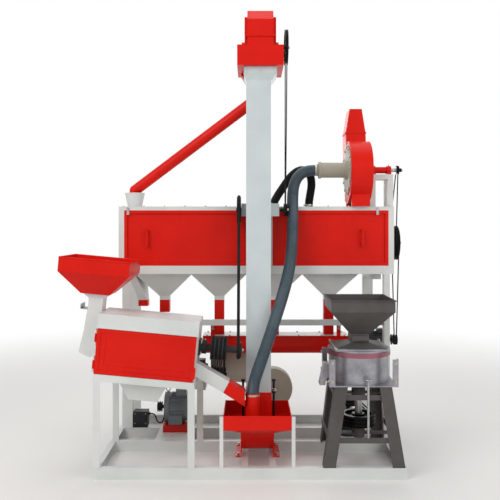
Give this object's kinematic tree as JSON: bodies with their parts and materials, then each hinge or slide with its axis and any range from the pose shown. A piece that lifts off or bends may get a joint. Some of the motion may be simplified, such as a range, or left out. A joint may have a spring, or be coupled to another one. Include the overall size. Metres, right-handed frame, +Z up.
{
  "type": "dal mill",
  "caption": "Small dal mill: tilted emery dehusker, bucket elevator, drum grader with hoppers and screw conveyor, fan and stone mill on one welded base.",
  "frame": {"origin": "centre of the four anchor holes at floor level, the middle of the base", "axes": "+X along the machine to the mill end, +Y from the front to the back, +Z up"},
  "size_m": [2.3644, 1.28, 3.085],
  "materials": {
    "white_paint": "gloss enamel on sheet and channel",
    "red_paint": "gloss enamel",
    "black_iron": "black painted cast iron",
    "steel": "plain steel",
    "emery": "bonded emery",
    "motor_grey": "grey enamel",
    "motor_dark": "dark enamel",
    "mill_grey": "grey enamel",
    "mill_steel": "bright sheet",
    "cream_paint": "cream enamel",
    "belt_rubber": "rubber and canvas",
    "hose_plastic": "corrugated flexible hose"
  },
  "bodies": {
    "root": {"base_frame": "white_paint", "bucket_belt": "belt_rubber", "chute_extension": "red_paint", "conveyor_lid": "white_paint", "conveyor_trough": "red_paint", "dehusker_casing": "white_paint", "dehusker_chutes": "white_paint", "dehusker_stand": "white_paint", "discharge_pipe": "red_paint", "drive_belts": "belt_rubber", "drive_motors": "motor_dark", "elevator_boot": "red_paint", "elevator_head": "red_paint", "elevator_hood": "red_paint", "elevator_leg": "white_paint", "fan_bearing": "red_paint", "fan_casing": "red_paint", "fan_inlet_plate": "cream_paint", "fan_stand": "white_paint", "feed_hopper": "red_paint", "feed_tray": "red_paint", "grader_body": "white_paint", "grader_frame": "white_paint", "grader_hoppers": "white_paint", "grader_panels": "red_paint", "grain_hose": "hose_plastic", "grain_spouts": "red_paint", "hopper_neck": "white_paint", "husk_blower": "cream_paint", "main_motor": "motor_grey", "mill_body": "mill_steel", "mill_hopper": "mill_grey", "mill_legs": "mill_grey", "motor_lead": "belt_rubber", "roller_screen": "steel", "shaft_bearings": "black_iron", "starter_box": "motor_dark", "take_up_screws": "black_iron", "tray_stays": "white_paint"},
    "door": {"dehusker_door": "red_paint"},
    "latch": {"door_latch": "red_paint"},
    "gate": {"feed_gate": "steel"},
    "dehusker_rotor": {"emery_roller": "emery", "dehusker_pulleys": "black_iron"},
    "dehusker_motor_shaft": {"dehusker_motor_pulley": "black_iron"},
    "jackshaft": {"jackshaft": "black_iron"},
    "head_shaft": {"head_shaft": "black_iron"},
    "boot_shaft": {"boot_shaft": "steel"},
    "sieve": {"sieve_drum": "steel"},
    "fan": {"fan_rotor": "steel"},
    "grader_motor_shaft": {"grader_motor_pulley": "black_iron"},
    "screw": {"conveyor_screw": "steel"},
    "mill_rotor": {"mill_spindle": "steel"},
    "mill_motor_shaft": {"mill_motor_pulley": "black_iron"},
    "mill_gate": {"mill_gate": "mill_grey"},
    "mill_screw": {"mill_adjuster": "steel"},
    "main_motor_shaft": {"main_motor_pulley": "black_iron"},
    "blower": {"blower_rotor": "steel"},
    "left_button": {"left_turn_button": "steel"},
    "right_button": {"right_turn_button": "steel"}
  },
  "joints": [
    {"name": "door_hinge", "type": "hinge", "parent": "root", "child": "door", "pos_m": [-0.99838, -0.61, 0.82902], "axis": [-0.0906, 0, -0.9959], "range_deg": [0, 110]},
    {"name": "latch_turn", "type": "hinge", "parent": "door", "child": "latch", "pos_m": [-0.36799, -0.625, 0.70537], "axis": [0, 1, 0], "range_deg": [0, 90]},
    {"name": "feed_gate_slide", "type": "slide", "parent": "root", "child": "gate", "axis": [-0.9959, 0, 0.0906], "range_m": [0, 0.09]},
    {"name": "dehusker_spin", "type": "hinge", "parent": "root", "child": "dehusker_rotor", "pos_m": [-0.98615, -0.46, 0.88614], "axis": [0.9959, 0, -0.0906], "continuous": true},
    {"name": "dehusker_motor_spin", "type": "hinge", "parent": "root", "child": "dehusker_motor_shaft", "pos_m": [-0.23202, 0.035, 0.53334], "axis": [0.9959, 0, -0.0906], "continuous": true},
    {"name": "jackshaft_spin", "type": "hinge", "parent": "root", "child": "jackshaft", "pos_m": [0, -0.168, 1.741], "axis": [1, 0, 0], "continuous": true},
    {"name": "head_spin", "type": "hinge", "parent": "root", "child": "head_shaft", "pos_m": [0, -0.28, 2.862], "axis": [1, 0, 0], "continuous": true},
    {"name": "boot_spin", "type": "hinge", "parent": "root", "child": "boot_shaft", "pos_m": [0, -0.28, 0.235], "axis": [1, 0, 0], "continuous": true},
    {"name": "sieve_spin", "type": "hinge", "parent": "root", "child": "sieve", "pos_m": [0, 0.2, 1.5], "axis": [1, 0, 0], "continuous": true},
    {"name": "fan_spin", "type": "hinge", "parent": "root", "child": "fan", "pos_m": [0, 0.04, 2.041], "axis": [1, 0, 0], "continuous": true},
    {"name": "grader_motor_spin", "type": "hinge", "parent": "root", "child": "grader_motor_shaft", "pos_m": [1.1, 0.2, 0.762], "axis": [1, 0, 0], "continuous": true},
    {"name": "screw_spin", "type": "hinge", "parent": "root", "child": "screw", "pos_m": [0, 0.12, 0.748], "axis": [1, 0, 0], "continuous": true},
    {"name": "mill_spin", "type": "hinge", "parent": "root", "child": "mill_rotor", "pos_m": [0.733, -0.38, 0.327], "axis": [0, 0, 1], "continuous": true},
    {"name": "mill_motor_spin", "type": "hinge", "parent": "root", "child": "mill_motor_shaft", "pos_m": [0.733, 0.09, 0.327], "axis": [0, 0, 1], "continuous": true},
    {"name": "mill_gate_slide", "type": "slide", "parent": "root", "child": "mill_gate", "axis": [0, -1, 0], "range_m": [0, 0.085]},
    {"name": "mill_screw_turn", "type": "hinge", "parent": "root", "child": "mill_screw", "pos_m": [0.758, -0.616, 0.64], "axis": [0, 0, 1], "continuous": true},
    {"name": "main_motor_spin", "type": "hinge", "parent": "root", "child": "main_motor_shaft", "pos_m": [-0.65, 0.226, 0.241], "axis": [1, 0, 0], "continuous": true},
    {"name": "blower_spin", "type": "hinge", "parent": "root", "child": "blower", "pos_m": [0.172, 0.24, 0.388], "axis": [0, 1, 0], "continuous": true},
    {"name": "left_button_turn", "type": "hinge", "parent": "root", "child": "left_button", "pos_m": [-0.885, -0.06, 1.753], "axis": [0, 1, 0], "range_deg": [0, 90]},
    {"name": "right_button_turn", "type": "hinge", "parent": "root", "child": "right_button", "pos_m": [0.925, -0.06, 1.753], "axis": [0, 1, 0], "range_deg": [0, 90]}
  ],
  "couplings": [
    {"joint": "dehusker_motor_spin", "follows": "dehusker_spin", "ratio": 1.4546},
    {"joint": "jackshaft_spin", "follows": "dehusker_spin", "ratio": 0.52632},
    {"joint": "head_spin", "follows": "dehusker_spin", "ratio": 0.19737},
    {"joint": "boot_spin", "follows": "dehusker_spin", "ratio": 0.19737},
    {"joint": "fan_spin", "follows": "sieve_spin", "ratio": 4.0938},
    {"joint": "grader_motor_spin", "follows": "sieve_spin", "ratio": 3.275},
    {"joint": "mill_motor_spin", "follows": "mill_spin", "ratio": 1.8833}
  ]
}
